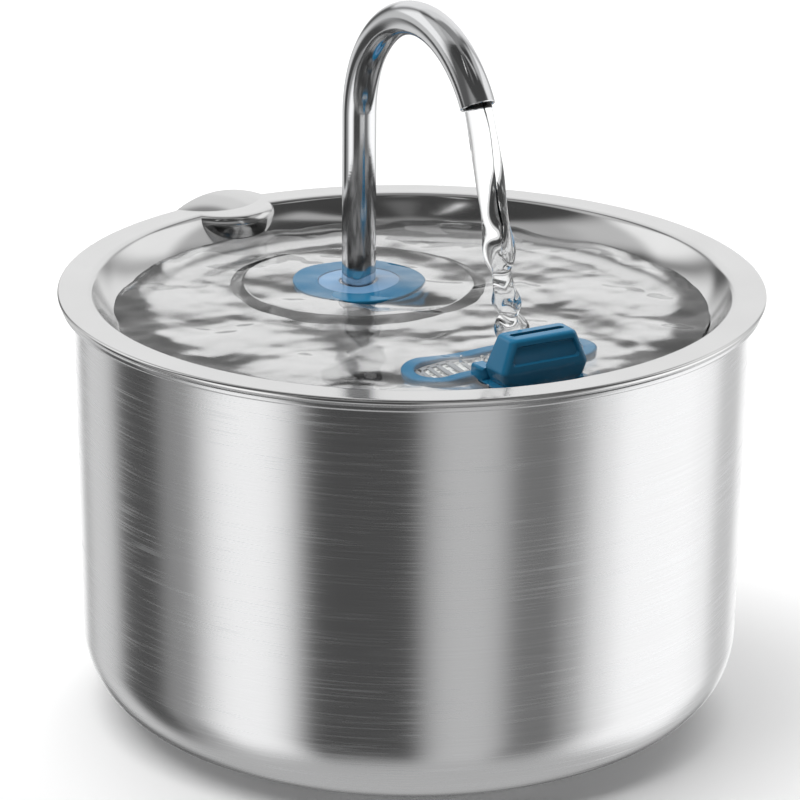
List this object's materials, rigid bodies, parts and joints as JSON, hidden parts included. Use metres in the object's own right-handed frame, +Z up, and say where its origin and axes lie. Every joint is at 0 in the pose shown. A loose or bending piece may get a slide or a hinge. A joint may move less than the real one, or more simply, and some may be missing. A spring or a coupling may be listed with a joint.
{
  "type": "pet water fountain",
  "caption": "Round steel bowl with a lift-out drinking tray, swivelling swan-neck faucet, lift-out filter cassette and a small pump under the tray.",
  "frame": {"origin": "centre of the base pad's underside, on the resting plane", "axes": "+Z up along the bowl's axis; +Y from the axis towards the faucet's foot and the pump; +X to the right when looking towards +Y"},
  "size_m": [0.2088, 0.2088, 0.2161],
  "materials": {
    "brushed_steel": "stainless sheet, brushed around the axis",
    "polished_steel": "polished stainless tube",
    "blue_plastic": "satin moulded plastic, mid blue",
    "pale_blue_silicone": "soft moulded silicone, pale blue",
    "grey_plastic": "fine moulded grid, light grey",
    "frosted_plastic": "moulded case, translucent white",
    "white_foam": "open-cell foam, white",
    "black_foam": "coarse open-cell foam, black",
    "carbon": "packed charcoal granules",
    "black_rubber": "moulded rubber, black",
    "clear_rubber": "translucent silicone",
    "black_plastic": "moulded plastic, black, fine texture",
    "grey_pump_plastic": "moulded plastic, dark grey",
    "white_plastic": "moulded plastic, white",
    "laminated_iron": "stacked steel laminations",
    "copper_winding": "enamelled copper wire",
    "ceramic": "ground ceramic",
    "ferrite": "sintered ferrite magnet"
  },
  "bodies": {
    "bowl": {"outer_bowl": "brushed_steel", "base_pad": "black_rubber", "suction_cups": "clear_rubber", "pump_housing": "black_plastic", "pump_back_cover": "grey_pump_plastic", "cable_gland": "black_rubber", "stator_core": "laminated_iron", "stator_coil": "copper_winding", "pump_shaft": "ceramic", "front_bush": "black_rubber", "rear_bush": "black_rubber", "chamber_cover": "grey_pump_plastic", "riser_pipe": "clear_rubber"},
    "tray": {"drinking_tray": "brushed_steel", "faucet_flange": "blue_plastic", "seal_disc": "pale_blue_silicone", "tube_seals": "black_rubber", "platform_gasket": "clear_rubber", "socket_nut": "blue_plastic"},
    "faucet": {"faucet_tube": "polished_steel"},
    "cassette": {"filter_frame": "blue_plastic", "lift_grip": "blue_plastic", "filter_mesh": "grey_plastic", "cartridge_shell": "frosted_plastic", "filter_foam": "white_foam", "carbon_pack": "carbon"},
    "rotor": {"impeller": "white_plastic", "rotor_magnet": "ferrite"},
    "intake": {"intake_cover": "black_plastic", "intake_foam": "black_foam"},
    "dial": {"flow_dial": "grey_pump_plastic"}
  },
  "joints": [
    {"name": "tray_lift", "type": "slide", "parent": "bowl", "child": "tray", "axis": [0, 0, 1], "range_m": [0, 0.06]},
    {"name": "faucet_swivel", "type": "hinge", "parent": "tray", "child": "faucet", "pos_m": [0, 0.032, 0.1211], "axis": [0, 0, 1], "range_deg": [-60, 60]},
    {"name": "cassette_lift", "type": "slide", "parent": "tray", "child": "cassette", "axis": [0, 0, 1], "range_m": [0, 0.045]},
    {"name": "rotor_spin", "type": "hinge", "parent": "bowl", "child": "rotor", "pos_m": [-0.0087, 0.04, 0.022], "axis": [0, 1, 0], "continuous": true},
    {"name": "intake_pull", "type": "slide", "parent": "bowl", "child": "intake", "axis": [0, -1, 0], "range_m": [0, 0.03]},
    {"name": "dial_turn", "type": "hinge", "parent": "intake", "child": "dial", "pos_m": [-0.0087, 0.009, 0.022], "axis": [0, -1, 0], "range_deg": [0, 30]}
  ]
}
